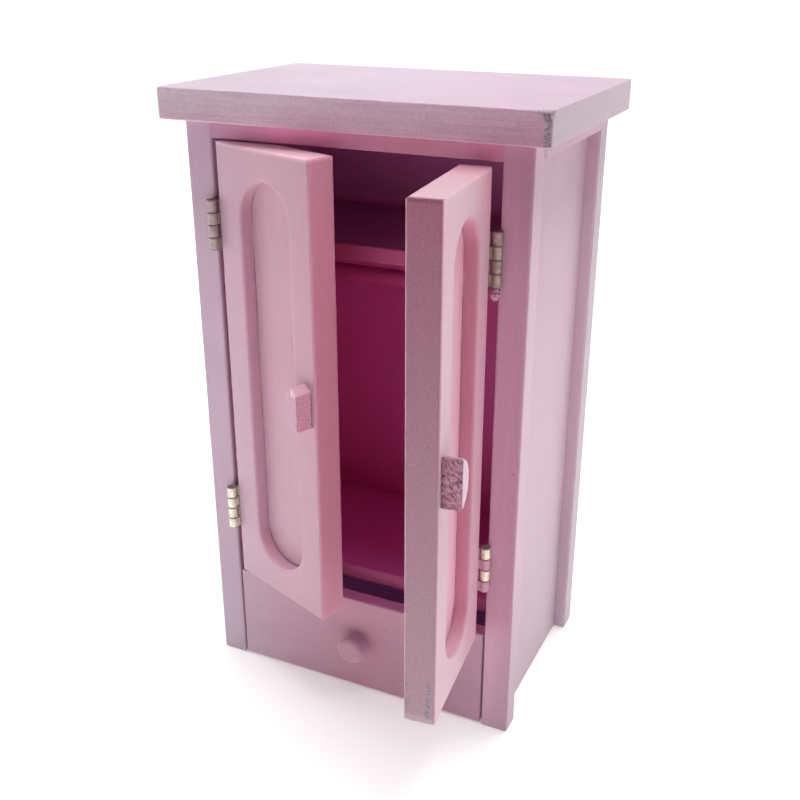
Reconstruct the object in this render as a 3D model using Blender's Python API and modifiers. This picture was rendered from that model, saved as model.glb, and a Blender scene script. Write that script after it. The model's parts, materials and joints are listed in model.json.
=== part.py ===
"""Miniature wardrobe: a dolls' house wardrobe in painted wood.

Four corner posts, recessed panels and rails carry an overhanging top board. Two doors
turn on small brass butt hinges above a drawer that slides out of the base.

Units are metres. X runs across the front, Y from front to back and Z up. The origin is
the middle of the carcass's underside. Left and right are as seen from the front.
"""

import math

import bmesh
import bpy

# Carcass
BODY_WIDTH = 0.0712
BODY_DEPTH = 0.0469
BODY_HEIGHT = 0.1234
POST_WIDTH = 0.00575
FRONT_POST_DEPTH = 0.0049
REAR_POST_DEPTH = 0.0055
RAIL_HEIGHT = 0.0034
PANEL_THICKNESS = 0.0032
PANEL_RECESS = 0.0026
GLUE_GAP = 0.0001
EASED_EDGE = 0.00018

# Top board
TOP_THICKNESS = 0.0060
TOP_OVERHANG_FRONT = 0.0035
TOP_OVERHANG_SIDE = 0.0036
TOP_OVERHANG_BACK = 0.0021

# Boards inside
SHELF_THICKNESS = 0.0033
INNER_SETBACK = 0.0065
SHELF_TOP = 0.1005
FLOOR_TOP = 0.0272
BOTTOM_THICKNESS = 0.0032
BOTTOM_SETBACK = 0.0037
CLOTHES_RAIL_RADIUS = 0.0018
CLOTHES_RAIL_HEIGHT = 0.0893
CLOTHES_RAIL_HOLE_DEPTH = 0.0015
CLOTHES_RAIL_CLEARANCE = 0.00012

# Doors
DOOR_WIDTH = 0.0282
DOOR_BOTTOM = 0.0235
DOOR_TOP = 0.1195
DOOR_THICKNESS = 0.0060
DOOR_FRONT_LAYER = 0.0027
DOOR_GAP = 0.00075
CUTOUT_WIDTH = 0.0148
CUTOUT_HINGE_MARGIN = 0.0070
CUTOUT_TOP_MARGIN = 0.0060
CUTOUT_BOTTOM_MARGIN = 0.0068
LEFT_DOOR_ANGLE = math.radians(21.0)
RIGHT_DOOR_ANGLE = math.radians(96.0)

# Knobs
KNOB_PROJECTION = 0.0036
DOOR_KNOB_HEIGHT = 0.0096
DOOR_KNOB_WIDTH = 0.0039
DOOR_KNOB_EDGE_MARGIN = 0.0012
DOOR_KNOB_LEVEL = 0.0725
DRAWER_KNOB_RADIUS = 0.0031
KNOB_EASED_EDGE = 0.0003

# Hinges
HINGE_LENGTH = 0.0100
HINGE_INSET = 0.0163
PIN_AHEAD = 0.00115
BARREL_RADIUS = 0.0010
BORE_RADIUS = 0.00046
PIN_RADIUS = 0.0004
LEAF_THICKNESS = 0.00027
LEAF_CLEARANCE = 0.00005
LEAF_REACH = 0.0040
KNUCKLE_COUNT = 4
KNUCKLE_GAP = 0.0001
NAIL_SPREAD = 0.0031
NAIL_SETBACK = 0.00135
NAIL_HEAD_RADIUS = 0.0006
NAIL_SHANK_RADIUS = 0.00028
NAIL_LENGTH = 0.0030
NAIL_POINT_START = 0.85
NAIL_CLEARANCE = 0.00008

# Drawer
DRAWER_FRONT_THICKNESS = 0.0033
DRAWER_FRONT_BOTTOM = 0.0004
DRAWER_FRONT_TOP = 0.0231
DRAWER_SIDE_GAP = 0.0004
DRAWER_WALL = 0.0020
DRAWER_BOX_DEPTH = 0.0355
DRAWER_BOX_TOP = 0.0205
DRAWER_RUNNING_GAP = 0.0003
DRAWER_BOX_SIDE_GAP = 0.0005

# Facets on round shapes
CUTOUT_ARC_STEPS = 16
KNOB_STEPS = 20
BARREL_STEPS = 20
BORE_STEPS = 16
NAIL_STEPS = 10
CLOTHES_RAIL_STEPS = 24
SMOOTH_BELOW = math.radians(35)

# Places worked out from the sizes above
FRONT = -BODY_DEPTH / 2
BACK = BODY_DEPTH / 2
HALF_WIDTH = BODY_WIDTH / 2
POST_INNER = HALF_WIDTH - POST_WIDTH
PANEL_OUTER = HALF_WIDTH - PANEL_RECESS
PANEL_INNER = PANEL_OUTER - PANEL_THICKNESS
BACK_PANEL_FRONT = BACK - PANEL_RECESS - PANEL_THICKNESS
FRAME_TOP = BODY_HEIGHT - GLUE_GAP
RAIL_BOTTOM = FRAME_TOP - RAIL_HEIGHT
BOARD_HALF = PANEL_INNER - GLUE_GAP
BOARD_BACK = BACK_PANEL_FRONT - GLUE_GAP
PIN_Y = FRONT - PIN_AHEAD
HINGE_LEVELS = {"lower": DOOR_BOTTOM + HINGE_INSET, "upper": DOOR_TOP - HINGE_INSET}
LEFT, RIGHT = -1, 1
SIDE_NAMES = {LEFT: "left", RIGHT: "right"}


def clear_scene():
    for item in list(bpy.data.objects):
        bpy.data.objects.remove(item, do_unlink=True)


def make_collection(name):
    collection = bpy.data.collections.new(name)
    bpy.context.scene.collection.children.link(collection)
    return collection


def make_material(name, colour, roughness, metallic=0.0):
    material = bpy.data.materials.new(name)
    material.use_nodes = True
    shader = material.node_tree.nodes["Principled BSDF"]
    shader.inputs["Base Color"].default_value = (*colour, 1.0)
    shader.inputs["Roughness"].default_value = roughness
    shader.inputs["Metallic"].default_value = metallic
    return material


def add_object(name, mesh, material, place=(0, 0, 0), parent=None):
    """Puts a mesh in the wardrobe's collection, at a place in its parent's frame."""
    item = bpy.data.objects.new(name, mesh)
    item.data.materials.append(material)
    item.location = place
    item.parent = parent
    WARDROBE.objects.link(item)
    return item


def add_pivot(name, place, turn=0.0):
    """An empty that carries a moving group; turn is its rotation about Z at rest."""
    pivot = bpy.data.objects.new(name, None)
    pivot.empty_display_size = 0.01
    pivot.location = place
    pivot.rotation_euler.z = turn
    WARDROBE.objects.link(pivot)
    return pivot


def finish_mesh(shape, name):
    mesh = bpy.data.meshes.new(name)
    shape.to_mesh(mesh)
    shape.free()
    return mesh


def smooth(mesh):
    mesh.shade_smooth()
    mesh.set_sharp_from_angle(angle=SMOOTH_BELOW)


def box_mesh(name, size):
    shape = bmesh.new()
    bmesh.ops.create_cube(shape, size=1.0)
    bmesh.ops.scale(shape, vec=size, verts=shape.verts)
    return finish_mesh(shape, name)


def cylinder_mesh(name, radius, length, steps):
    """A cylinder along Z, centred on the origin."""
    shape = bmesh.new()
    bmesh.ops.create_cone(shape, cap_ends=True, segments=steps, radius1=radius, radius2=radius,
                          depth=length)
    mesh = finish_mesh(shape, name)
    smooth(mesh)
    return mesh


def outline_mesh(name, outlines, thickness):
    """A flat plate along Z from closed outlines; a second outline inside makes a hole."""
    curve = bpy.data.curves.new(name, "CURVE")
    curve.dimensions = "2D"
    curve.fill_mode = "BOTH"
    curve.extrude = thickness / 2
    for points in outlines:
        spline = curve.splines.new("POLY")
        spline.points.add(len(points) - 1)
        for point, (x, y) in zip(spline.points, points):
            point.co = (x, y, 0, 1)
        spline.use_cyclic_u = True
    holder = bpy.data.objects.new(name + "_outline", curve)
    WARDROBE.objects.link(holder)
    depsgraph = bpy.context.evaluated_depsgraph_get()
    mesh = bpy.data.meshes.new_from_object(holder.evaluated_get(depsgraph))
    bpy.data.objects.remove(holder, do_unlink=True)
    shape = bmesh.new()
    shape.from_mesh(mesh)
    bmesh.ops.remove_doubles(shape, verts=shape.verts, dist=1e-6)
    bmesh.ops.recalc_face_normals(shape, faces=shape.faces)
    shape.to_mesh(mesh)
    shape.free()
    mesh.materials.clear()
    smooth(mesh)
    return mesh


def arc(centre, radius, start, end, steps):
    """Points along an arc, both ends included."""
    points = []
    for step in range(steps + 1):
        angle = start + (end - start) * step / steps
        points.append((centre[0] + radius * math.cos(angle), centre[1] + radius * math.sin(angle)))
    return points


def ease_edges(item, width, segments=1):
    bevel = item.modifiers.new("eased_edges", "BEVEL")
    bevel.width = width
    bevel.segments = segments
    bevel.limit_method = "ANGLE"
    bevel.angle_limit = math.radians(40)


def add_board(name, low, high, material, parent=None):
    """A straight board between two opposite corners, given in the frame of its parent."""
    centre = [(a + b) / 2 for a, b in zip(low, high)]
    size = [b - a for a, b in zip(low, high)]
    board = add_object(name, box_mesh(name, size), material, centre, parent)
    ease_edges(board, EASED_EDGE)
    return board


def add_cutter(name, mesh, place, parent=None, rotation=(0, 0, 0)):
    cutter = bpy.data.objects.new(name, mesh)
    cutter.location = place
    cutter.rotation_euler = rotation
    cutter.parent = parent
    cutter.hide_render = True
    cutter.display_type = "WIRE"
    CUTTERS.objects.link(cutter)
    return cutter


def cut(item, cutter):
    boolean = item.modifiers.new(cutter.name, "BOOLEAN")
    boolean.operation = "DIFFERENCE"
    boolean.solver = "EXACT"
    boolean.object = cutter


def build_posts():
    posts = {}
    for side, side_name in SIDE_NAMES.items():
        across = sorted((side * POST_INNER, side * HALF_WIDTH))
        depths = {"front": (FRONT, FRONT + FRONT_POST_DEPTH), "rear": (BACK - REAR_POST_DEPTH, BACK)}
        for end_name, (near, far) in depths.items():
            name = f"{end_name}_{side_name}_post"
            posts[end_name, side] = add_board(
                name, (across[0], near, 0), (across[1], far, FRAME_TOP), PAINT)
    return posts


def build_rails():
    half = POST_INNER - GLUE_GAP
    add_board("front_top_rail", (-half, FRONT, RAIL_BOTTOM),
              (half, FRONT + FRONT_POST_DEPTH, FRAME_TOP), PAINT)
    near = FRONT + FRONT_POST_DEPTH + GLUE_GAP
    far = BACK - REAR_POST_DEPTH - GLUE_GAP
    for side, side_name in SIDE_NAMES.items():
        across = sorted((side * POST_INNER, side * HALF_WIDTH))
        add_board(f"{side_name}_top_rail", (across[0], near, RAIL_BOTTOM),
                  (across[1], far, FRAME_TOP), PAINT)


def build_side_panels():
    """Side panels set back from the posts, each with a blind hole for the clothes rail."""
    near = FRONT + FRONT_POST_DEPTH + GLUE_GAP
    far = BACK - REAR_POST_DEPTH - GLUE_GAP
    hole = cylinder_mesh("clothes_rail_hole", CLOTHES_RAIL_RADIUS + CLOTHES_RAIL_CLEARANCE,
                         2 * CLOTHES_RAIL_HOLE_DEPTH, CLOTHES_RAIL_STEPS)
    for side, side_name in SIDE_NAMES.items():
        across = sorted((side * PANEL_INNER, side * PANEL_OUTER))
        panel = add_board(f"{side_name}_side_panel", (across[0], near, 0),
                          (across[1], far, RAIL_BOTTOM - GLUE_GAP), PAINT)
        place = (side * PANEL_INNER, 0, CLOTHES_RAIL_HEIGHT)
        cut(panel, add_cutter(f"{side_name}_rail_hole", hole, place, rotation=(0, math.pi / 2, 0)))


def build_carcass_boards():
    half = POST_INNER - GLUE_GAP
    add_board("back_panel", (-half, BACK_PANEL_FRONT, 0),
              (half, BACK_PANEL_FRONT + PANEL_THICKNESS, FRAME_TOP), PAINT)
    add_board("top_board",
              (-HALF_WIDTH - TOP_OVERHANG_SIDE, FRONT - TOP_OVERHANG_FRONT, BODY_HEIGHT),
              (HALF_WIDTH + TOP_OVERHANG_SIDE, BACK + TOP_OVERHANG_BACK, BODY_HEIGHT + TOP_THICKNESS),
              PAINT)
    inner_front = FRONT + INNER_SETBACK
    for name, top in (("hat_shelf", SHELF_TOP), ("floor_board", FLOOR_TOP)):
        add_board(name, (-BOARD_HALF, inner_front, top - SHELF_THICKNESS),
                  (BOARD_HALF, BOARD_BACK, top), PAINT)
    add_board("bottom_board", (-BOARD_HALF, FRONT + BOTTOM_SETBACK, 0),
              (BOARD_HALF, BOARD_BACK, BOTTOM_THICKNESS), PAINT)


def build_clothes_rail():
    length = 2 * (PANEL_INNER + CLOTHES_RAIL_HOLE_DEPTH - CLOTHES_RAIL_CLEARANCE)
    mesh = cylinder_mesh("clothes_rail", CLOTHES_RAIL_RADIUS, length, CLOTHES_RAIL_STEPS)
    rail = add_object("clothes_rail", mesh, PAINT, (0, 0, CLOTHES_RAIL_HEIGHT))
    rail.rotation_euler.y = math.pi / 2


def stadium(width, height):
    """A straight-sided slot outline with round ends, centred on the origin."""
    radius = width / 2
    straight = height / 2 - radius
    top = arc((0, straight), radius, 0, math.pi, CUTOUT_ARC_STEPS)
    bottom = arc((0, -straight), radius, math.pi, 2 * math.pi, CUTOUT_ARC_STEPS)
    return top + bottom


def half_disc(width, height):
    """A flat-sided disc: straight along x = 0, bulging to -X."""
    points = arc((0, 0), 1, math.pi / 2, 3 * math.pi / 2, KNOB_STEPS)
    return [(x * width, y * height / 2) for x, y in points]


def build_door(side, angle):
    """A door of two layers, modelled shut in the frame of a pivot on its hinge axis."""
    side_name = SIDE_NAMES[side]
    pivot = add_pivot(f"{side_name}_door_pivot", (side * POST_INNER, PIN_Y, 0), side * angle)
    hinge_edge = -side * DOOR_GAP
    free_edge = -side * (DOOR_GAP + DOOR_WIDTH)
    across = sorted((hinge_edge, free_edge))
    face = PIN_AHEAD
    frame = add_board(f"{side_name}_door_frame", (across[0], face, DOOR_BOTTOM),
                      (across[1], face + DOOR_FRONT_LAYER, DOOR_TOP), PAINT, pivot)
    add_board(f"{side_name}_door_panel", (across[0], face + DOOR_FRONT_LAYER + GLUE_GAP, DOOR_BOTTOM),
              (across[1], face + DOOR_THICKNESS, DOOR_TOP), PAINT, pivot)
    cut_door_window(side, frame, pivot)
    add_door_knob(side, pivot)
    return pivot, frame


def cut_door_window(side, frame, pivot):
    side_name = SIDE_NAMES[side]
    low = DOOR_BOTTOM + CUTOUT_BOTTOM_MARGIN
    high = DOOR_TOP - CUTOUT_TOP_MARGIN
    middle = -side * (DOOR_GAP + CUTOUT_HINGE_MARGIN + CUTOUT_WIDTH / 2)
    mesh = outline_mesh("window", [stadium(CUTOUT_WIDTH, high - low)], 3 * DOOR_FRONT_LAYER)
    place = (middle, PIN_AHEAD + DOOR_FRONT_LAYER / 2, (low + high) / 2)
    cut(frame, add_cutter(f"{side_name}_window", mesh, place, pivot, (math.pi / 2, 0, 0)))


def add_door_knob(side, pivot):
    """A half-round slice with its flat side along the door's free edge."""
    mesh = outline_mesh("door_knob", [half_disc(DOOR_KNOB_WIDTH, DOOR_KNOB_HEIGHT)], KNOB_PROJECTION)
    flat = -side * (DOOR_GAP + DOOR_WIDTH - DOOR_KNOB_EDGE_MARGIN)
    place = (flat, PIN_AHEAD - GLUE_GAP - KNOB_PROJECTION / 2, DOOR_KNOB_LEVEL)
    knob = add_object(f"{SIDE_NAMES[side]}_door_knob", mesh, PAINT, place, pivot)
    turn = math.pi if side == RIGHT else 0.0
    knob.rotation_euler = (math.pi / 2, turn, 0)
    ease_edges(knob, KNOB_EASED_EDGE, 2)


def leaf_outline(side, near, far):
    """A hinge leaf's section: a straight plate between x = near and far that runs back
    from a barrel on the origin. near is the plate's face closer to the pin's plane."""
    end = PIN_AHEAD + LEAF_REACH
    first = math.acos(near / BARREL_RADIUS)
    last = math.acos(far / BARREL_RADIUS)
    barrel = arc((0, 0), BARREL_RADIUS, first, last - 2 * math.pi, BARREL_STEPS)
    points = [(near, end)] + barrel + [(far, end)]
    return [(side * x, y) for x, y in points]


def knuckle_cutter(name, owned, place, parent):
    """Boxes that clear the barrel where the other leaf's knuckles turn."""
    pitch = HINGE_LENGTH / KNUCKLE_COUNT
    reach = 1.4 * BARREL_RADIUS
    shape = bmesh.new()
    for index in range(KNUCKLE_COUNT):
        if index in owned:
            continue
        low = -HINGE_LENGTH / 2 + index * pitch - KNUCKLE_GAP / 2
        high = low + pitch + KNUCKLE_GAP
        if index == 0:
            low -= reach
        if index == KNUCKLE_COUNT - 1:
            high += reach
        cube = bmesh.ops.create_cube(shape, size=1.0)["verts"]
        back = PIN_AHEAD - LEAF_CLEARANCE
        for vertex in cube:
            vertex.co.x *= 2 * reach
            vertex.co.y = vertex.co.y * (reach + back) + (back - reach) / 2
            vertex.co.z = vertex.co.z * (high - low) + (high + low) / 2
    return add_cutter(name, finish_mesh(shape, name), place, parent)


def add_leaf(name, side, plate, owned, place, parent=None):
    """One hinge leaf; plate is its two X faces on the right-hand hinge, owned its knuckles."""
    bore = arc((0, 0), BORE_RADIUS, 0, 2 * math.pi * (1 - 1 / BORE_STEPS), BORE_STEPS - 1)
    mesh = outline_mesh(name, [leaf_outline(side, *plate), bore], HINGE_LENGTH)
    leaf = add_object(name, mesh, BRASS, place, parent)
    cut(leaf, knuckle_cutter(f"{name}_notch", owned, place, parent))
    return leaf


def profile_mesh(name, profile):
    """A chain of edges in the XZ plane, to be turned about Z."""
    shape = bmesh.new()
    corners = [shape.verts.new((x, 0, z)) for x, z in profile]
    for first, second in zip(corners, corners[1:]):
        shape.edges.new((first, second))
    return finish_mesh(shape, name)


def nail_mesh():
    """Profile of a countersunk nail with its head at the top."""
    return profile_mesh("hinge_nail", [
        (0, 0), (NAIL_HEAD_RADIUS, 0), (NAIL_SHANK_RADIUS, -LEAF_THICKNESS),
        (NAIL_SHANK_RADIUS, -NAIL_POINT_START * NAIL_LENGTH), (0, -NAIL_LENGTH)])


def turn_profile(item, steps):
    screw = item.modifiers.new("turned", "SCREW")
    screw.axis = "Z"
    screw.steps = steps
    screw.render_steps = steps
    screw.use_merge_vertices = True
    screw.merge_threshold = 1e-6


def nail_cutter(name, place, rotation, parent):
    """The countersunk hole for one nail, with the same axis and head place as the nail."""
    head = NAIL_HEAD_RADIUS + NAIL_CLEARANCE
    shank = NAIL_SHANK_RADIUS + NAIL_CLEARANCE
    proud = LEAF_CLEARANCE / 2
    mouth = head + (head - shank) * proud / LEAF_THICKNESS
    depth = NAIL_LENGTH + NAIL_CLEARANCE
    mesh = profile_mesh(name, [(0, proud), (mouth, proud), (shank, -LEAF_THICKNESS),
                               (shank, -depth), (0, -depth)])
    cutter = add_cutter(name, mesh, place, parent, rotation)
    turn_profile(cutter, NAIL_STEPS)
    return cutter


def nail_leaf(leaf, wood, head_x, towards, centre, parent=None):
    """Two nails through a leaf. towards is the X direction in which the nails go in."""
    rotation = (0, -towards * math.pi / 2, 0)
    for label, rise in (("low", -NAIL_SPREAD), ("high", NAIL_SPREAD)):
        place = (centre[0] + head_x, centre[1] + PIN_AHEAD + NAIL_SETBACK, centre[2] + rise)
        name = f"{leaf.name}_nail_{label}"
        nail = add_object(name, NAIL_MESH.copy(), BRASS, place, parent)
        nail.rotation_euler = rotation
        turn_profile(nail, NAIL_STEPS)
        cutter = nail_cutter(f"{name}_hole", place, rotation, parent)
        cut(leaf, cutter)
        cut(wood, cutter)


def build_hinge(side, level_name, post, door_frame, pivot):
    """A four-knuckle butt hinge: one leaf on the post, one on the door, and its pin."""
    level = HINGE_LEVELS[level_name]
    name = f"{SIDE_NAMES[side]}_{level_name}_hinge"
    post_plate = (-LEAF_CLEARANCE, -LEAF_CLEARANCE - LEAF_THICKNESS)
    door_plate = (-DOOR_GAP + LEAF_CLEARANCE + LEAF_THICKNESS, -DOOR_GAP + LEAF_CLEARANCE)
    post_centre = (side * POST_INNER, PIN_Y, level)
    door_centre = (0, 0, level)
    post_leaf = add_leaf(f"{name}_post_leaf", side, post_plate, (1, 3), post_centre)
    door_leaf = add_leaf(f"{name}_door_leaf", side, door_plate, (0, 2), door_centre, pivot)
    nail_leaf(post_leaf, post, side * post_plate[1], side, post_centre)
    nail_leaf(door_leaf, door_frame, side * door_plate[0], -side, door_centre, pivot)
    pin = cylinder_mesh(f"{name}_pin", PIN_RADIUS, HINGE_LENGTH - KNUCKLE_GAP, BORE_STEPS)
    add_object(f"{name}_pin", pin, BRASS, post_centre)


def build_drawer():
    """A tray with a knobbed front, sliding on the bottom board."""
    slide = add_pivot("drawer_slide", (0, FRONT, 0))
    half = POST_INNER - DRAWER_SIDE_GAP
    add_board("drawer_front", (-half, 0, DRAWER_FRONT_BOTTOM),
              (half, DRAWER_FRONT_THICKNESS, DRAWER_FRONT_TOP), PAINT, slide)
    near = DRAWER_FRONT_THICKNESS + GLUE_GAP
    far = near + DRAWER_BOX_DEPTH
    base = BOTTOM_THICKNESS + DRAWER_RUNNING_GAP
    outer = PANEL_INNER - DRAWER_BOX_SIDE_GAP
    inner = outer - DRAWER_WALL
    for side, side_name in SIDE_NAMES.items():
        across = sorted((side * inner, side * outer))
        add_board(f"drawer_{side_name}_side", (across[0], near, base),
                  (across[1], far, DRAWER_BOX_TOP), BARE_WOOD, slide)
    half = inner - GLUE_GAP
    add_board("drawer_bottom", (-half, near, base), (half, far, base + DRAWER_WALL), BARE_WOOD, slide)
    add_board("drawer_back", (-half, far - DRAWER_WALL, base + DRAWER_WALL + GLUE_GAP),
              (half, far, DRAWER_BOX_TOP), BARE_WOOD, slide)
    mesh = cylinder_mesh("drawer_knob", DRAWER_KNOB_RADIUS, KNOB_PROJECTION, KNOB_STEPS)
    middle = (DRAWER_FRONT_BOTTOM + DRAWER_FRONT_TOP) / 2
    knob = add_object("drawer_knob", mesh, PAINT, (0, -GLUE_GAP - KNOB_PROJECTION / 2, middle), slide)
    knob.rotation_euler.x = math.pi / 2
    ease_edges(knob, KNOB_EASED_EDGE, 2)


clear_scene()
WARDROBE = make_collection("miniature_wardrobe")
CUTTERS = make_collection("miniature_wardrobe_cutters")
PAINT = make_material("pink_paint", (0.62, 0.33, 0.42), 0.6)
BARE_WOOD = make_material("bare_wood", (0.60, 0.42, 0.27), 0.75)
BRASS = make_material("brass", (0.68, 0.55, 0.30), 0.35, 1.0)
NAIL_MESH = nail_mesh()

POSTS = build_posts()
build_rails()
build_side_panels()
build_carcass_boards()
build_clothes_rail()
for door_side, rest_angle in ((LEFT, LEFT_DOOR_ANGLE), (RIGHT, RIGHT_DOOR_ANGLE)):
    door_pivot, door_frame = build_door(door_side, rest_angle)
    for hinge_level in HINGE_LEVELS:
        build_hinge(door_side, hinge_level, POSTS["front", door_side], door_frame, door_pivot)
build_drawer()
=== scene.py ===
"""The looks of the miniature wardrobe: hand-painted boards, doors, knobs, hinges and the studio.

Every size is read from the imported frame. Units are metres, in the same frame as the CAD.
Door pieces are modelled shut, in the frame of their hinge, and then set at their rest angle.
"""

import json
import math

import bmesh
import bpy
import numpy as np
from mathutils import Matrix, Vector, noise


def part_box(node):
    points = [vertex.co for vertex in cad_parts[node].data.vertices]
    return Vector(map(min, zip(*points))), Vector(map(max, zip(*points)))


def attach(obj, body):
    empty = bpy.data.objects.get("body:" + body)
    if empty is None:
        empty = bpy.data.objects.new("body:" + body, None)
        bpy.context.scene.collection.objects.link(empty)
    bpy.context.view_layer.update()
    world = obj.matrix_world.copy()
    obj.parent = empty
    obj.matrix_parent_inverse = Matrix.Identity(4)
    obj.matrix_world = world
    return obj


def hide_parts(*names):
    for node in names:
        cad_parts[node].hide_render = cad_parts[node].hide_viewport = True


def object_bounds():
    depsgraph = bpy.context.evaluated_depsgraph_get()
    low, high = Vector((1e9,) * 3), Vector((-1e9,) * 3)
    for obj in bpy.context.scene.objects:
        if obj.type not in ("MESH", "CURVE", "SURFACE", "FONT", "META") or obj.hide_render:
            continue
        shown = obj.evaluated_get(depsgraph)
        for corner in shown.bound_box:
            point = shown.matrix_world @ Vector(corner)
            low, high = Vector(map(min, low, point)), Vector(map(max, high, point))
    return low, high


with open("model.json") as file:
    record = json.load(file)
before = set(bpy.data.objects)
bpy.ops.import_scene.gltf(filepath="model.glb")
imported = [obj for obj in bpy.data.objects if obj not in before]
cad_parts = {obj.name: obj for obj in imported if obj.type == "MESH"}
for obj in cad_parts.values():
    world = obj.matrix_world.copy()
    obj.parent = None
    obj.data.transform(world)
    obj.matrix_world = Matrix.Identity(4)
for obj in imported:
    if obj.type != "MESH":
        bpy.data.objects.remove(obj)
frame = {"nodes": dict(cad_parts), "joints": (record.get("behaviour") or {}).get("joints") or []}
CAD_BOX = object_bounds()
NODES = frame["nodes"]
JOINTS = {joint["name"]: joint for joint in frame["joints"]}
LEFT, RIGHT = -1, 1
SIDES = {LEFT: "left", RIGHT: "right"}

# Skin of the boards: rounding, grid, waves, rubbed edges and the ridges of a sawn side
MARKS = ("edge", "crack", "sawn", "panel", "wall")
EDGE_RADIUS = 0.0003
TIGHT_RADIUS = 0.00012
GRID = 0.0012
FINE_GRID = 0.0006
GLUE_GAP = 0.0001
WAVE_HEIGHT = 0.00004
WAVE_LENGTH = 0.012
RUB_DEPTH = 0.00012
RUB_LENGTH = 0.0018
RUB_WEAR = 0.45
SAW_RIDGE_LENGTH, SAW_RIDGE_WIDTH = 0.0011, 0.00034
SAW_SLANT = math.radians(35)

# The knocked corner of the top board. A swing is the sine of equal steps of SWING_STEP radians,
# which keeps repeated marks out of line.
SWING_STEP = 2.4
CORNER_KNOCKS = 8
KNOCK_INSET, KNOCK_SWAY = 0.0003, 0.0003
KNOCK_RADIUS, KNOCK_RADIUS_SWING = 0.0010, 0.0002
KNOCK_DEPTH, KNOCK_DEPTH_SWING = 0.00022, 0.00008
KNOCK_WEAR = 0.75

# The lump of paint: its half sizes, how far it may reach from the hinge's axis, and the dark
# band painted as the shade of a nick in it
LUMP_SIZE = (0.0009, 0.0009, 0.0013)
LUMP_REACH = 0.00106
LUMP_SWELL, LUMP_DETAIL = 0.4, 2.2
NICK_DROP, NICK_HEIGHT = 0.0011, 0.00018

# Doors: window, crack round the sunk panel, and the right door's scuff and chips
LIP_RADIUS = 0.00045
FREE_SIDE_INSET = 0.00003
RECESS_DEPTH = 0.0027
WINDOW_MARGIN = 0.004
ARC_STEPS = 34
CRACK_WIDTH = 0.00012
CRACK_DEPTH = 0.00025
CRACK_RUN = 0.007
CRACK_MEAN, CRACK_SPREAD = 0.75, 1.2
CRACK_LEAST, CRACK_RISE = 0.25, 0.85
SCUFF_MARKS = 10
SCUFF_FOOT, SCUFF_PITCH = 0.0007, 0.0009
SCUFF_INSET, SCUFF_SWAY = 0.0012, 0.0004
SCUFF_RADIUS, SCUFF_DEPTH = 0.0007, 0.00005
SCUFF_WEAR, SCUFF_FADE = 0.95, 0.03
CHIP_INSET = 0.0007
CHIP_RISES = (0.0038, 0.0073, 0.0520)
CHIP_RADIUS, CHIP_DEPTH = 0.0005, 0.00012
SAWN_DEPTH = {LEFT: 0.00003, RIGHT: 0.00006}
DOOR_LEVELS = (0.0235, 0.1195)

# Hinges
KNUCKLES = 4
LEAF_EASING = 0.00012
# Where the knuckles meet: dark paint lines and painted shade, fading over this distance.
GRIME_AND_SHADE_FROM, GRIME_AND_SHADE_TO = 0.00008, 0.00028

# Knobs. KNOB_CUT is how much of the top corner is off, along x and z.
KNOB_STEPS = 26
KNOB_ARC_STEPS, KNOB_FLAT_STEPS, KNOB_CUT_STEPS = 60, 80, 14
KNOB_ROUNDING = 0.0004
DRAWER_KNOB_STEPS = 96
DRAWER_KNOB_ROUNDING = 0.0010
DRAWER_KNOB_ROUGH = 0.00005
KNOB_CUT = {LEFT: (0.0016, 0.0021), RIGHT: (0.0, 0.0)}
KNOB_ROUGH = {LEFT: 0.00016, RIGHT: 0.00040}

# Floor: half its size, its own light, and how its glow grows with distance
FLOOR_REACH = 6.0
FLOOR_WASH = 2.2
GLOW_NEAR, GLOW_FAR = 0.11, 0.34
GLOW_FROM, GLOW_TO = 0.15, 0.9

# Lamps: place, size, power and colour
LAMPS = {"top_box": ((0.0, 0.10, 0.65), (0.5, 0.5), 5.1, (1, 1, 1)),
         "left_box": ((-0.60, -0.15, 0.25), (0.5, 0.5), 0.65, (1.0, 0.95, 0.98)),
         "back_box": ((0.0, 0.70, 0.30), (0.8, 0.5), 0.9, (0.8, 1.0, 0.97))}
LAMP_AIM = (0, 0, 0.06)

# Studio walls seen from the wardrobe, by direction
WALLS = {"-X": (0.10, 0.10, 0.10), "+X": (0.14, 0.12, 0.12), "-Y": (0.09, 0.09, 0.09),
         "+Y": (0.15, 0.15, 0.15), "-Z": (0.12, 0.12, 0.12), "+Z": (0.12, 0.12, 0.12)}

# Camera
LENS = 46.886
SENSOR = 36.0
CAMERA_PLACE = (0.09041, -0.19273, 0.15219)
CAMERA_AZIMUTH = math.radians(25.260)
CAMERA_ELEVATION = math.radians(23.088)
CAMERA_ROLL = math.radians(0.061)

# Paint colours. TONES give a colour by x and TINTS what it is multiplied by, by z, in each
# case as pairs of a coordinate and a colour. A door's are in the frame of the shut door.
# The tables below also hold painted light and shade, besides the paint's own colour.
PINK = (0.63, 0.33, 0.46)
LILAC = (0.61, 0.43, 0.55)
# Inside: a deep, saturated pink, as pink light bounced inside looks, and a lighter one above the hat
# shelf, as lit there: painted reflection, light and shade.
INNER_SHADED_PINK = (0.83, 0.07, 0.38)
HAT_LIT_PINK = (0.86, 0.30, 0.66)
HAT_LEVELS = (0.099, 0.102)
WORN_DARK, WORN_LIGHT = (0.20, 0.12, 0.17), (0.44, 0.35, 0.41)
# Near-black for cracks, pits, glue lines and the lump's nick: painted shade in them.
CRACK_SHADE = (0.14, 0.04, 0.09)
SMEAR = (0.66, 0.37, 0.46)
# Dark paint lines and painted shade between the hinge knuckles.
GRIME_AND_SHADE = (0.20, 0.09, 0.13)
# A faint glow for the bare wood: painted stray light.
STRAY_LIGHT = (0.018, 0.005, 0.023)
SHEEN = 0.55
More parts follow.
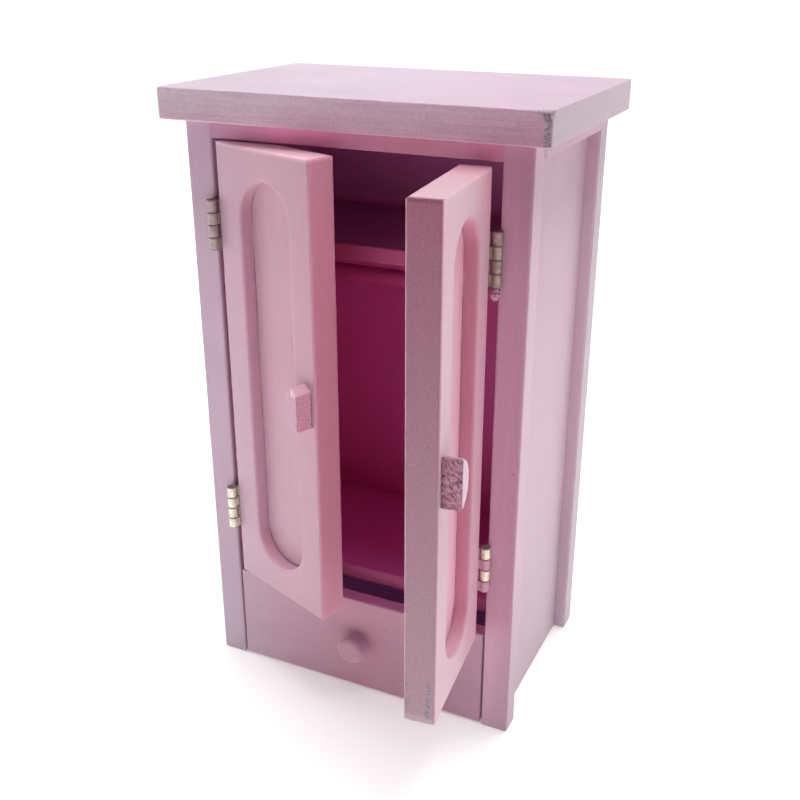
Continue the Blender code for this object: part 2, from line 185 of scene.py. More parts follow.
# Painted light and shade: lilac to the left, as lit by the left lamp, pinker to the right, as lit by
# pink light off the open right door, and deeper on the right side's outer faces.
CARCASS_SHADED_TONES = ((0.0356, (0.58, 0.305, 0.425)), (0.030, (0.73, 0.38, 0.53)), (-0.040, LILAC))
# Rear posts: a lighter, greyer pink for their lit faces that face the front: painted light.
REAR_SHADED_TONES = ((0.030, (0.72, 0.50, 0.61)), (-0.040, (0.66, 0.50, 0.61)))
# Top board: greyish lilac to the left, as lit by the left lamp, pinker to the right: painted light.
# Its tints darken its sides towards its underside: painted shade.
TOP_SHADED_TONES = ((0.030, (0.655, 0.43, 0.555)), (-0.040, (0.72, 0.585, 0.685)))
TOP_SHADED_TINTS = ((0.1236, (0.92, 0.76, 0.80)), (0.1290, (1.0, 1.0, 1.0)))
# Front rail: much lighter over the left door, lighting what the door shades, and darker at its ends
# and over the right door: painted light and shade.
RAIL_SHADED_TONES = ((0.030, (0.62, 0.19, 0.34)), (0.013, (0.53, 0.175, 0.28)),
              (0.002, (0.60, 0.20, 0.34)), (-0.006, (0.93, 0.30, 0.54)),
              (-0.014, (0.93, 0.31, 0.57)), (-0.022, (0.60, 0.22, 0.38)),
              (-0.030, (0.44, 0.21, 0.33)))
# Drawer front: darker towards the right door, which shades it, lilac to the left, as lit by the left
# lamp, and lighter at its foot, as lit by the floor: painted light and shade.
DRAWER_SHADED_TONES = ((0.026, (0.515, 0.27, 0.37)), (0.0, (0.56, 0.255, 0.352)),
                (-0.026, (0.596, 0.37, 0.475)))
DRAWER_SHADED_TINTS = ((0.0, (1.15, 1.17, 1.18)), (0.008, (1.0, 1.0, 1.0)))
# Doors by x: lilac by the left door's hinge, as lit by the left lamp, and pinker by the right door's
# hinge, as lit by pink light off the post: painted light.
LEFT_DOOR_SHADED_TONES = ((0.027, (0.614, 0.304, 0.405)), (0.018, (0.647, 0.33, 0.436)),
                   (0.009, (0.627, 0.33, 0.436)), (0.002, (0.628, 0.37, 0.485)))
RIGHT_DOOR_SHADED_TONES = ((-0.027, (0.614, 0.295, 0.39)), (-0.022, (0.60, 0.305, 0.405)),
                    (-0.012, (0.575, 0.27, 0.36)), (-0.0075, (0.60, 0.225, 0.325)),
                    (-0.002, (0.73, 0.26, 0.40)))
PLAIN_TINTS = ((0.0, (1.0, 1.0, 1.0)), (0.13, (1.0, 1.0, 1.0)))
# Painted shade and light by height: darker under the top board's overhang, and greyer near the
# floor, as lit by it.
CARCASS_SHADED_TINTS = ((0.0, (0.95, 1.03, 1.02)), (0.022, (0.93, 0.95, 0.93)),
                 (0.045, (1.0, 1.0, 1.0)), (0.080, (1.0, 1.0, 1.0)),
                 (0.100, (0.96, 0.96, 0.95)), (0.123, (0.79, 0.70, 0.74)))
# Doors by z: lighter at the foot, as lit by the floor, darker just under the top board's overhang,
# and much lighter on the top faces, where the light falls: painted light and shade.
LEFT_DOOR_SHADED_TINTS = ((0.0235, (0.98, 1.01, 1.00)), (0.030, (1.03, 1.08, 1.07)),
                   (0.085, (1.0, 1.0, 1.0)), (0.1188, (0.90, 0.88, 0.89)),
                   (0.1194, (1.55, 1.80, 1.62)))
RIGHT_DOOR_SHADED_TINTS = ((0.0235, (1.22, 1.26, 1.28)), (0.060, (1.0, 1.0, 1.0)),
                    (0.100, (1.0, 1.0, 1.0)), (0.1145, (0.97, 0.87, 0.90)),
                    (0.1188, (1.0, 0.95, 0.95)), (0.1194, (1.13, 1.37, 1.22)))


# Materials

def node(tree, kind, inputs=None, **settings):
    """Adds a shader node. An input is a number, a colour or another node's socket."""
    made = tree.nodes.new("ShaderNode" + kind)
    for key, value in settings.items():
        setattr(made, key, value)
    for key, value in (inputs or {}).items():
        if isinstance(value, bpy.types.NodeSocket):
            tree.links.new(value, made.inputs[key])
        else:
            made.inputs[key].default_value = value
    return made


def mix_colour(tree, factor, first, second, blend="MIX"):
    made = node(tree, "Mix", data_type="RGBA", blend_type=blend, clamp_result=True)
    for index, value in ((0, factor), (6, first), (7, second)):
        if isinstance(value, bpy.types.NodeSocket):
            tree.links.new(value, made.inputs[index])
        elif index:
            made.inputs[index].default_value = (*value, 1.0)
        else:
            made.inputs[index].default_value = value
    return made.outputs[2]


def remap(tree, value, low, high, to_low=0.0, to_high=1.0):
    made = node(tree, "MapRange", {"Value": value, "From Min": low, "From Max": high,
                                   "To Min": to_low, "To Max": to_high})
    return made.outputs["Result"]


def math_node(tree, operation, *values):
    made = node(tree, "Math", operation=operation)
    for index, value in enumerate(values):
        if isinstance(value, bpy.types.NodeSocket):
            tree.links.new(value, made.inputs[index])
        else:
            made.inputs[index].default_value = value
    return made.outputs[0]


def weighted(tree, *pairs):
    """The sum of sockets, each times its weight."""
    total = 0.0
    for value, weight in pairs:
        total = math_node(tree, "MULTIPLY_ADD", value, weight, total)
    return total


def tone_at(tree, coordinate, tones):
    """The colour at a coordinate: tones are pairs of a coordinate and a colour, in order."""
    start, end = tones[0][0], tones[-1][0]
    ramp = node(tree, "ValToRGB", {"Fac": remap(tree, coordinate, start, end)})
    stops = ramp.color_ramp.elements
    stops[0].color = (*tones[0][1], 1.0)
    stops[1].color = (*tones[-1][1], 1.0)
    for value, colour in tones[1:-1]:
        stops.new((value - start) / (end - start)).color = (*colour, 1.0)
    return ramp.outputs["Color"]


def shaded(tree, colour, shade):
    return node(tree, "VectorMath", {0: colour, "Scale": shade}, operation="SCALE").outputs[0]


def noise_at(tree, place, scale, detail=2.0, roughness=0.5):
    made = node(tree, "TexNoise", {"Vector": place, "Scale": scale, "Detail": detail,
                                   "Roughness": roughness})
    return made.outputs["Fac"]


def new_material(name):
    material = bpy.data.materials.new(name)
    material.use_nodes = True
    tree = material.node_tree
    place = node(tree, "TexCoord").outputs["Object"]
    return material, tree, tree.nodes["Principled BSDF"], place


def stretched(tree, place, grain, length, width):
    """Coordinates in features of a length along the grain axis and a width across it."""
    scale = [1 / width] * 3
    scale["XYZ".index(grain)] = 1 / length
    return node(tree, "Mapping", {"Vector": place, "Scale": scale}).outputs["Vector"]


def painted_wood(name, tones, grain, tints=PLAIN_TINTS, sawn=None, tooth=0.06, panel=None,
                 wall=None, speck=0.5, sheen=SHEEN, uneven=0.08):
    """Brushed satin paint on wood: streaks along the grain, grit, pinholes and rubbed edges.
    tones are the paint's colours by x, and tints are what they are multiplied by, by z; as given
    here, they hold painted light and shade besides the paint's own colour. sawn is the pair of
    colours, low and high on a door, of the sawn sides, and tooth is how unevenly those took the
    paint. panel and wall are the tints of the faces marked so. The sawn colours and these tints
    are painted light and shade. uneven is how much the paint's shade varies at random, and speck
    how many pinholes it has. Inside the carcass, as marked, the paint is that of the inside,
    painted reflection and shade, and cracks go near-black, painted shade."""
    material, tree, shader, place = new_material(name)
    parts = node(tree, "SeparateXYZ", {"Vector": place})
    brush = noise_at(tree, stretched(tree, place, grain, 0.012, 0.0004), 1.0, 3.0, 0.6)
    fibre = noise_at(tree, stretched(tree, place, grain, 0.004, 0.00016), 1.0, 2.0, 0.6)
    grit = noise_at(tree, place, 2400.0, 2.0, 0.6)
    mottle = noise_at(tree, place, 90.0, 3.0)
    marks = {label: node(tree, "Attribute", attribute_name=label).outputs["Fac"]
             for label in ("sawn", "panel", "wall", "inside_shade", "wear", "crack")}

    base = tone_at(tree, parts.outputs["X"], tones)
    base = mix_colour(tree, 1.0, base, tone_at(tree, parts.outputs["Z"], tints), blend="MULTIPLY")
    for mark, tint in (("panel", panel), ("wall", wall)):
        if tint:
            base = mix_colour(tree, marks[mark], base, tint, blend="MULTIPLY")
    shade = remap(tree, weighted(tree, (brush, 0.4), (grit, 0.4), (mottle, 0.2)), 0.3, 0.7,
                  0.99 - uneven, 0.99 + uneven)
    base = shaded(tree, base, shade)
    if sawn:
        cut = mix_colour(tree, remap(tree, parts.outputs["Z"], *DOOR_LEVELS), *sawn)
        rough_cut = noise_at(tree, stretched(tree, place, "X", 0.0009, 0.00032), 1.0, 3.0, 0.7)
        cut = shaded(tree, cut, remap(tree, rough_cut, 0.3, 0.7, 1 - tooth, 1 + tooth))
        base = mix_colour(tree, marks["sawn"], base, cut)
    # The inside's colours are painted reflection and shade.
    inside = mix_colour(tree, remap(tree, parts.outputs["Z"], *HAT_LEVELS), INNER_SHADED_PINK, HAT_LIT_PINK)
    base = mix_colour(tree, marks["inside_shade"], base, inside)

    cells = node(tree, "TexVoronoi", {"Vector": place, "Scale": 260.0})
    chosen = remap(tree, node(tree, "SeparateColor", {"Color": cells.outputs["Color"]}).outputs[0],
                   1 - 0.25 * speck, 1 - 0.25 * speck + 0.02)
    dot = remap(tree, cells.outputs["Distance"], 0.035, 0.075, 1.0, 0.0)
    pinhole = math_node(tree, "MULTIPLY", chosen, dot)
    base = mix_colour(tree, math_node(tree, "MULTIPLY", pinhole, 0.5), base,
                      tuple(c * 0.35 for c in tones[0][1]))

    rubbed = remap(tree, weighted(tree, (marks["wear"], 1.0), (fibre, 0.5)), 0.60, 1.00)
    worn = mix_colour(tree, remap(tree, grit, 0.35, 0.65), WORN_DARK, WORN_LIGHT)
    base = mix_colour(tree, rubbed, base, worn)
    # Cracks, pits and glue lines go near-black: painted shade.
    broken = math_node(tree, "MULTIPLY", marks["crack"], remap(tree, fibre, 0.3, 0.6))
    base = mix_colour(tree, remap(tree, broken, 0.15, 0.7), base, CRACK_SHADE)
    tree.links.new(base, shader.inputs["Base Color"])

    gloss = weighted(tree, (remap(tree, brush, 0.3, 0.7, 0.42, 0.54), 1.0), (rubbed, 0.2))
    tree.links.new(gloss, shader.inputs["Roughness"])
    shader.inputs["Specular IOR Level"].default_value = 0.5
    shader.inputs["Sheen Weight"].default_value = sheen
    shader.inputs["Sheen Roughness"].default_value = 0.5
    height = weighted(tree, (brush, 0.8), (grit, 0.5), (fibre, 0.3), (pinhole, -0.8), (rubbed, -0.5))
    bump = node(tree, "Bump", {"Height": height, "Strength": 0.7, "Distance": 0.0001})
    tree.links.new(bump.outputs["Normal"], shader.inputs["Normal"])
    return material


def old_brass(name, tone, paint, foot, pitch):
    """Satin brass dulled by handling, smeared with pink paint, and dark where the knuckles meet,
    which is at every pitch above foot: dark paint lines there, and painted shade."""
    material, tree, shader, place = new_material(name)
    cloud = noise_at(tree, place, 700.0, 3.0, 0.6)
    fine = noise_at(tree, place, 4000.0, 2.0)
    dull, bright = (tuple(part * share for part in tone) for share in (0.78, 1.15))
    metal = mix_colour(tree, remap(tree, cloud, 0.35, 0.65), dull, bright)
    smear = noise_at(tree, place, 520.0, 3.0, 0.55)
    cover = remap(tree, smear, 0.66 - 0.4 * paint, 0.84 - 0.4 * paint)
    base = mix_colour(tree, cover, metal, SMEAR)
    parts = node(tree, "SeparateXYZ", {"Vector": place})
    rise = math_node(tree, "SUBTRACT", parts.outputs["Z"], foot)
    to_joint = math_node(tree, "PINGPONG", rise, pitch / 2)
    grime_and_shade = remap(tree, to_joint, GRIME_AND_SHADE_FROM, GRIME_AND_SHADE_TO, 0.8, 0.0)
    base = mix_colour(tree, grime_and_shade, base, GRIME_AND_SHADE)
    tree.links.new(base, shader.inputs["Base Color"])
    tree.links.new(remap(tree, weighted(tree, (cover, 1.0), (grime_and_shade, 1.0)), 0.0, 1.0, 0.4, 0.0),
                   shader.inputs["Metallic"])
    gloss = weighted(tree, (remap(tree, fine, 0.3, 0.7, 0.32, 0.48), 1.0), (cover, 0.15))
    tree.links.new(gloss, shader.inputs["Roughness"])
    height = weighted(tree, (cover, 0.8), (fine, 0.2), (grime_and_shade, -1.0))
    bump = node(tree, "Bump", {"Height": height, "Strength": 0.5, "Distance": 0.00006})
    tree.links.new(bump.outputs["Normal"], shader.inputs["Normal"])
    return material


def plain_wood(name, grain):
    """Sanded pale wood, unpainted, with grain lines, and a faint purple glow: painted stray light
    in the dark drawer.
    """
    material, tree, shader, place = new_material(name)
    lines = noise_at(tree, stretched(tree, place, grain, 0.02, 0.0009), 1.0, 4.0, 0.6)
    pores = noise_at(tree, stretched(tree, place, grain, 0.003, 0.0002), 1.0, 2.0)
    base = mix_colour(tree, remap(tree, lines, 0.35, 0.65), (0.44, 0.29, 0.17), (0.68, 0.51, 0.34))
    base = mix_colour(tree, remap(tree, pores, 0.62, 0.72, 0.0, 0.5), base, (0.30, 0.18, 0.10))
    tree.links.new(base, shader.inputs["Base Color"])
    tree.links.new(remap(tree, pores, 0.3, 0.7, 0.6, 0.75), shader.inputs["Roughness"])
    shader.inputs["Emission Color"].default_value = (*STRAY_LIGHT, 1.0)
    shader.inputs["Emission Strength"].default_value = 1.0
    bump = node(tree, "Bump", {"Height": lines, "Strength": 0.4, "Distance": 0.00008})
    tree.links.new(bump.outputs["Normal"], shader.inputs["Normal"])
    return material


def studio_paper(name):
    """White seamless paper with a faint tooth, lit from within further away, as by a far lamp."""
    material, tree, shader, place = new_material(name)
    tooth = noise_at(tree, place, 900.0, 3.0)
    tone = noise_at(tree, place, 4.0, 2.0)
    base = mix_colour(tree, tone, (0.86, 0.86, 0.86), (0.88, 0.88, 0.88))
    tree.links.new(base, shader.inputs["Base Color"])
    tree.links.new(remap(tree, tooth, 0.3, 0.7, 0.85, 0.95), shader.inputs["Roughness"])
    away = node(tree, "VectorMath", {0: place}, operation="LENGTH").outputs["Value"]
    shader.inputs["Emission Color"].default_value = (1.0, 1.0, 1.0, 1.0)
    tree.links.new(remap(tree, away, GLOW_FROM, GLOW_TO, GLOW_NEAR, GLOW_FAR),
                   shader.inputs["Emission Strength"])
    bump = node(tree, "Bump", {"Height": tooth, "Strength": 0.15, "Distance": 0.0001})
    tree.links.new(bump.outputs["Normal"], shader.inputs["Normal"])
    return material


def both(colour):
    return colour, colour


def plain(colour):
    """The tones of a paint that is the same all along x."""
    return (-1.0, colour), (1.0, colour)


# The panel tint darkens the side panels' outer faces: painted shade.
PAINT = {grain: painted_wood(f"pink_paint_{grain.lower()}", CARCASS_SHADED_TONES, grain, CARCASS_SHADED_TINTS,
                             panel=(0.86, 0.90, 0.90)) for grain in "YZ"}
# The top board's right end, marked sawn, and its front, marked panel, are darker than its top:
# painted shade.
TOP_PAINT = painted_wood("pink_paint_top", TOP_SHADED_TONES, "X", TOP_SHADED_TINTS,
                         sawn=both((0.385, 0.21, 0.307)), tooth=0.03, panel=(0.865, 0.81, 0.83),
                         uneven=0.22)
RAIL_PAINT = painted_wood("pink_paint_rail", RAIL_SHADED_TONES, "X")
# Its sawn colour darkens the rear posts' outer sides: painted shade.
REAR_PAINT = painted_wood("pink_paint_rear", REAR_SHADED_TONES, "Z", CARCASS_SHADED_TINTS,
                          sawn=both((0.40, 0.245, 0.335)))
# Its top edge, marked sawn, is the saturated magenta of shaded pink: painted shade.
DRAWER_PAINT = painted_wood("pink_paint_drawer", DRAWER_SHADED_TONES, "X", DRAWER_SHADED_TINTS,
                            sawn=both((0.85, 0.30, 0.66)))
# The doors' sawn free sides take colours by height that hold painted light and shade; their tooth is
# the torn paint. The panel tint lightens the sunk panels against their shade, and the wall tint
# lights the walls round them that face up: painted light.
DOOR_PAINT = {
    LEFT: painted_wood("pink_paint_left_door", LEFT_DOOR_SHADED_TONES, "Z", LEFT_DOOR_SHADED_TINTS,
                       sawn=((0.73, 0.31, 0.42), (0.88, 0.37, 0.51)), panel=(1.03, 1.06, 1.04),
                       wall=(1.95, 1.80, 1.78)),
    RIGHT: painted_wood("pink_paint_right_door", RIGHT_DOOR_SHADED_TONES, "Z", RIGHT_DOOR_SHADED_TINTS,
                        sawn=((0.46, 0.265, 0.33), (0.33, 0.095, 0.155)), tooth=0.22,
                        panel=(1.45, 1.32, 1.38), wall=(1.30, 1.58, 1.40), speck=0.9)}
# The knobs' sawn sides take colours that hold painted light and shade, and the left knob's cut
# corner, marked panel, is much lighter: a painted highlight.
KNOB_PAINT = {
    LEFT: painted_wood("pink_paint_left_knob", plain(PINK), "X", sawn=both((0.84, 0.44, 0.58)),
                       tooth=0.30, panel=(1.60, 2.00, 1.70)),
    RIGHT: painted_wood("pink_paint_right_knob", plain(PINK), "X", sawn=both((0.52, 0.215, 0.315)),
                        tooth=0.36, speck=1.0)}
# Its round side, marked sawn, is darker and more purple: painted shade.
DRAWER_KNOB_PAINT = painted_wood("pink_paint_drawer_knob", plain((0.55, 0.272, 0.37)), "X",
                                 sawn=both((0.50, 0.23, 0.40)))
# The lump's pink is darker than the post's, as if shaded: painted shade.
LUMP_PAINT = painted_wood("pink_paint_lump", plain((0.62, 0.27, 0.40)), "X", speck=1.0)
# The inside's pieces take deep, saturated pinks of painted reflection and shade; the shelf is darker
# still, and the front edges of shelf and floor board, marked sawn, have their own painted shade.
BOTTOM_PAINT = painted_wood("shaded_inside_paint", plain(INNER_SHADED_PINK), "X", sheen=0.0)
ROD_PAINT = painted_wood("shaded_inside_rod", plain((0.66, 0.06, 0.26)), "X", sheen=0.0)
FLOOR_PAINT = painted_wood("shaded_inside_floor", plain((0.90, 0.16, 0.58)), "X",
                           sawn=both((0.56, 0.10, 0.26)), sheen=0.0)
SHELF_PAINT = painted_wood("shaded_inside_shelf", plain((0.42, 0.09, 0.27)), "X",
                           sawn=both((0.51, 0.06, 0.19)), sheen=0.0)
TRAY_WOOD = {grain: plain_wood(f"bare_wood_{grain.lower()}", grain) for grain in "XY"}


# Skins

def cavity_box():
    """The space inside the carcass, grown by a hair so that it takes in the faces around it."""
    panel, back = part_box("right_side_panel"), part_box("back_panel")
    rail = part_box("front_top_rail")
    hair = Vector((1.5 * GLUE_GAP,) * 3)
    low = Vector((-panel[0].x, rail[0].y + 3 * EDGE_RADIUS, 0.0))
    high = Vector((panel[0].x, back[0].y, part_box("top_board")[0].z))
    return low - hair, high + hair


CAVITY = cavity_box()


def box_skin(low, high, radius, step):
    """A box with rounded edges as one welded grid: points, how much of an edge each is, quads."""
    low, high = np.array(low, float), np.array(high, float)
    axes = []
    for start, end in zip(low, high):
        count = max(1, round((end - start - 4 * radius) / step))
        flat = np.linspace(start + 2 * radius, end - 2 * radius, count + 1)
        turn = radius * (1 - math.tan(math.pi / 8))
        axes.append(np.concatenate([[start, start + turn, start + radius], flat,
                                    [end - radius, end - turn, end]]))
    counts = [len(axis) for axis in axes]
    quads = []
    for normal in range(3):
        across, up = (normal + 1) % 3, (normal + 2) % 3
        grid = np.meshgrid(np.arange(counts[across]), np.arange(counts[up]), indexing="ij")
        for end in (0, counts[normal] - 1):
            index = [None] * 3
            index[normal], index[across], index[up] = np.full_like(grid[0], end), *grid
            key = np.ravel_multi_index(index, counts)
            quad = np.stack([key[:-1, :-1], key[1:, :-1], key[1:, 1:], key[:-1, 1:]], -1)
            quads.append(quad.reshape(-1, 4) if end else quad.reshape(-1, 4)[:, ::-1])
    keys, quads = np.unique(np.concatenate(quads), return_inverse=True)
    index = np.unravel_index(keys, counts)
    raw = np.stack([axis[i] for axis, i in zip(axes, index)], -1)
    core = np.clip(raw, low + radius, high - radius)
    out = (raw - core) / np.linalg.norm(raw - core, axis=1, keepdims=True)
    edge = np.clip((1 - np.abs(out).max(1)) / (1 - math.sqrt(0.5)), 0, 1)
    return core + radius * out, edge, quads.reshape(-1, 4)


def loft_skin(rings, edges):
    """Rings of equal length joined into one skin; edges says how much of an edge each ring is."""
    rings = np.array(rings, float)
    number, length = rings.shape[:2]
    ids = np.arange(number * length).reshape(number, length)
    after = np.roll(ids, -1, axis=1)
    quads = np.stack([ids[:-1], after[:-1], after[1:], ids[1:]], -1).reshape(-1, 4)
    return rings.reshape(-1, 3), np.repeat(np.array(edges, float), length), quads


def new_mesh(name, points, edge, quads, **marks):
    """A welded mesh with its normals outward. Attributes say how much of each point is an edge,
    a crack, a sawn side, a sunk panel or other face marked panel, or the wall round a sunk
    panel. The paints give cracks, sawn sides, panels and walls colours of painted light and shade."""
    mesh = bpy.data.meshes.new(name)
    mesh.from_pydata(points.tolist(), [], quads.tolist())
    marks["edge"] = edge
    for label in MARKS:
        attribute = mesh.attributes.new(label, "FLOAT", "POINT")
        if marks.get(label) is not None:
            attribute.data.foreach_set("value", np.asarray(marks[label], np.float32))
    shape = bmesh.new()
    shape.from_mesh(mesh)
    bmesh.ops.remove_doubles(shape, verts=shape.verts, dist=2e-6)
    bmesh.ops.dissolve_degenerate(shape, edges=shape.edges, dist=1e-7)
    bmesh.ops.recalc_face_normals(shape, faces=shape.faces)
    shape.to_mesh(mesh)
    shape.free()
    return mesh


def read_attribute(mesh, label):
    values = np.zeros(len(mesh.vertices), np.float32)
    mesh.attributes[label].data.foreach_get("value", values)
    return values


def write_attribute(mesh, label, values):
    if label not in mesh.attributes:
        mesh.attributes.new(label, "FLOAT", "POINT")
    mesh.attributes[label].data.foreach_set("value", np.asarray(values, np.float32))


def clamped(value):
    return min(1.0, max(0.0, value))


def hand_finish(mesh, seed, dents=(), rough=0.0, pitted=False, inside_shaded=True):
    """Moves the skin inward by hair's breadths: slow waves, edges rubbed unevenly, dents, and
    slanting ridges on sawn sides, up to rough deep. A dent is (place, radius, depth, wear).
    What is rubbed goes to the wear attribute and the pits of a pitted piece to crack, whose
    dark is painted shade. Points inside the carcass are marked for the inside's colours of
    painted reflection and shade."""
    points = np.zeros(len(mesh.vertices) * 3, np.float32)
    mesh.vertices.foreach_get("co", points)
    points = points.reshape(-1, 3).astype(float)
    normals = np.zeros(len(mesh.vertices) * 3, np.float32)
    mesh.vertex_normals.foreach_get("vector", normals)
    normals = normals.reshape(-1, 3)
    edge, sawn, crack = (read_attribute(mesh, label) for label in ("edge", "sawn", "crack"))
    shift = Vector((seed * 1.7, seed * 0.3, seed * 2.9))
    ridges = Matrix.Diagonal((1 / SAW_RIDGE_WIDTH, 1 / SAW_RIDGE_WIDTH, 1 / SAW_RIDGE_LENGTH))
    slant = ridges @ Matrix.Rotation(SAW_SLANT, 3, "X")
    sink = np.zeros(len(points))
    wear = np.zeros(len(points))
    for index, point in enumerate(points):
        place = Vector(point)
        sink[index] = WAVE_HEIGHT * (0.5 + 0.5 * noise.noise(place / WAVE_LENGTH + shift))
        if edge[index] > 0.01:
            rub = edge[index] * clamped(0.5 + 0.9 * noise.noise(place / RUB_LENGTH + shift))
            sink[index] += RUB_DEPTH * rub
            wear[index] += RUB_WEAR * rub
        if rough and sawn[index] > 0.3:
            torn = noise.fractal(slant @ place + shift, 1.0, 2.0, 3)
            sink[index] += rough * clamped(0.3 + torn)
            if pitted:
                crack[index] = max(crack[index], clamped(3.0 * (torn - 0.25)))
    for place, radius, depth, worn in dents:
        near = 1 - (np.linalg.norm(points - np.array(place), axis=1) / radius) ** 2
        near = np.clip(near, 0, 1)
        sink += depth * near ** 2
        wear += worn * np.sqrt(near)
    # Points inside the carcass take the inside's colours of painted reflection and shade.
    low, high = CAVITY
    inside_shade = inside_shaded & np.all((points > np.array(low)) & (points < np.array(high)), axis=1)
    points -= normals * np.maximum(sink, 0)[:, None]
    mesh.vertices.foreach_set("co", points.astype(np.float32).ravel())
    for label, values in (("wear", np.clip(wear, 0, 1)), ("inside_shade", inside_shade), ("crack", crack)):
        write_attribute(mesh, label, values)
    mesh.update()


def add_piece(name, mesh, material, body, replaced, place=None):
    """A finished piece that rides on a CAD body in place of the CAD nodes it stands for."""
    piece = bpy.data.objects.new(name, mesh)
    mesh.materials.append(material)
    mesh.shade_smooth()
    bpy.context.scene.collection.objects.link(piece)
    if place is not None:
        piece.matrix_world = place
    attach(piece, body)
    if replaced:
        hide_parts(*replaced)
    return piece


def on_side(points, side):
    """1 for the points on one side of a box, named as in -Y, and 0 for the rest."""
    values = points[:, "XYZ".index(side[1])]
    limit = values.max() if side[0] == "+" else values.min()
    return np.abs(values - limit) < 0.5 * TIGHT_RADIUS


def add_board(name, low, high, material, body, replaced, seed, radius=EDGE_RADIUS, step=GRID,
              dents=(), slot="pink_paint", inside_shaded=True, **sides):
    """sides says which side of the board is sawn or panel, as in sawn="+X"."""
    points, edge, quads = box_skin(low, high, radius, step)
    marks = {mark: on_side(points, side) for mark, side in sides.items()}
    mesh = new_mesh(name, points, edge, quads, **marks)
    hand_finish(mesh, seed, dents, inside_shaded=inside_shaded)
    return add_piece(name, mesh, material, body, replaced)


# Carcass

def stretched_box(label, low=(0, 0, 0), high=(0, 0, 0)):
    """A CAD node's box with its faces moved outward by the given lengths."""
    near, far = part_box(label)
    return near - Vector(low), far + Vector(high)


def build_top_board():
    """The overhanging top. Its front right corner is knocked and rubbed down its whole height."""
    low, high = stretched_box("top_board", low=(0, 0, GLUE_GAP))
    dents = [(Vector((high.x - 0.0003, low.y, high.z)), 0.0019, 0.0006, 1.0),
             (Vector((high.x - 0.0016, low.y, high.z)), 0.0013, 0.0004, 0.8),
             (Vector((low.x + 0.0175, low.y, low.z + 0.0012)), 0.0006, 0.0001, 0.5),
             (Vector((low.x + 0.0160, low.y, low.z + 0.0015)), 0.0005, 0.0001, 0.4),
             (Vector((low.x, low.y, high.z)), 0.0012, 0.0001, 0.3),
             (Vector((low.x, low.y, low.z)), 0.0012, 0.0001, 0.3)]
    corner_height = high.z - low.z
    for step in range(CORNER_KNOCKS):
        share = (step + 0.5) / CORNER_KNOCKS
        swing = math.sin(step * SWING_STEP)
        place = Vector((high.x - KNOCK_INSET - KNOCK_SWAY * swing, low.y,
                        low.z + share * corner_height))
        dents.append((place, KNOCK_RADIUS + KNOCK_RADIUS_SWING * swing,
                      KNOCK_DEPTH + KNOCK_DEPTH_SWING * swing, KNOCK_WEAR))
    # Right end and front are marked for their painted shade.
    add_board("painted_top_board", low, high, TOP_PAINT, "carcass", ["top_board"], 1,
              step=FINE_GRID, dents=dents, sawn="+X", panel="-Y")


def build_frame():
    """Posts and rails. The rails' ends run over the posts' rounded edges, as paint would."""
    over = GLUE_GAP + EDGE_RADIUS
    for side, side_name in SIDES.items():
        for end_name in ("front", "rear"):
            label = f"{end_name}_{side_name}_post"
            low, high = stretched_box(label, high=(0, 0, GLUE_GAP))
            paint = PAINT["Z"] if end_name == "front" else REAR_PAINT
            # The outer side is marked sawn; the rear posts' paint makes it darker: painted shade.
            add_board(f"painted_{label}", low, high, paint, "carcass", [label], 3 + side,
                      sawn="+X" if side == RIGHT else "-X")
        label = f"{side_name}_top_rail"
        low, high = stretched_box(label, (0, over, 0), (0, over, GLUE_GAP))
        outer = high.x if side == RIGHT else low.x
        dents = [(Vector((outer, low.y + 0.0005, high.z - 0.0022)), 0.0008, 0.00025, 0.8),
                 (Vector((outer, low.y + 0.0012, high.z - 0.0030)), 0.0006, 0.00020, 0.7),
                 (Vector((outer, low.y + 0.0040, high.z - 0.0016)), 0.0006, 0.00030, 0.8)]
        add_board(f"painted_{label}", low, high, PAINT["Y"], "carcass", [label], 6 + side,
                  radius=TIGHT_RADIUS, step=FINE_GRID, dents=dents)
    low, high = stretched_box("front_top_rail", (over, 0, 0), (over, 0, GLUE_GAP))
    add_board("painted_front_top_rail", low, high, RAIL_PAINT, "carcass", ["front_top_rail"], 9,
              radius=TIGHT_RADIUS)


def build_panels():
    """Side and back panels, which go a hair into the boards around them."""
    for side, side_name in SIDES.items():
        label = f"{side_name}_side_panel"
        low, high = stretched_box(label, (0, GLUE_GAP, 0), (0, GLUE_GAP, GLUE_GAP))
        # The outer face is marked panel for its painted shade.
        add_board(f"painted_{label}", low, high, PAINT["Z"], "carcass", [label], 12 + side,
                  radius=TIGHT_RADIUS, panel="+X" if side == RIGHT else "-X")
    low, high = stretched_box("back_panel", (GLUE_GAP, 0, 0), (GLUE_GAP, 0, GLUE_GAP))
    add_board("painted_back_panel", low, high, PAINT["Z"], "carcass", ["back_panel"], 15,
              radius=TIGHT_RADIUS)


def build_inside():
    """The hat shelf, the floor of the hanging space, and the board that the drawer slides on."""
    paints = {"hat_shelf": SHELF_PAINT, "floor_board": FLOOR_PAINT, "bottom_board": BOTTOM_PAINT}
    for seed, (label, paint) in enumerate(paints.items()):
        low, high = stretched_box(label, (GLUE_GAP, 0, 0), (GLUE_GAP, GLUE_GAP, 0))
        add_board(f"painted_{label}", low, high, paint, "carcass", [label], 20 + seed,
                  sawn="-Y", inside_shaded=False)


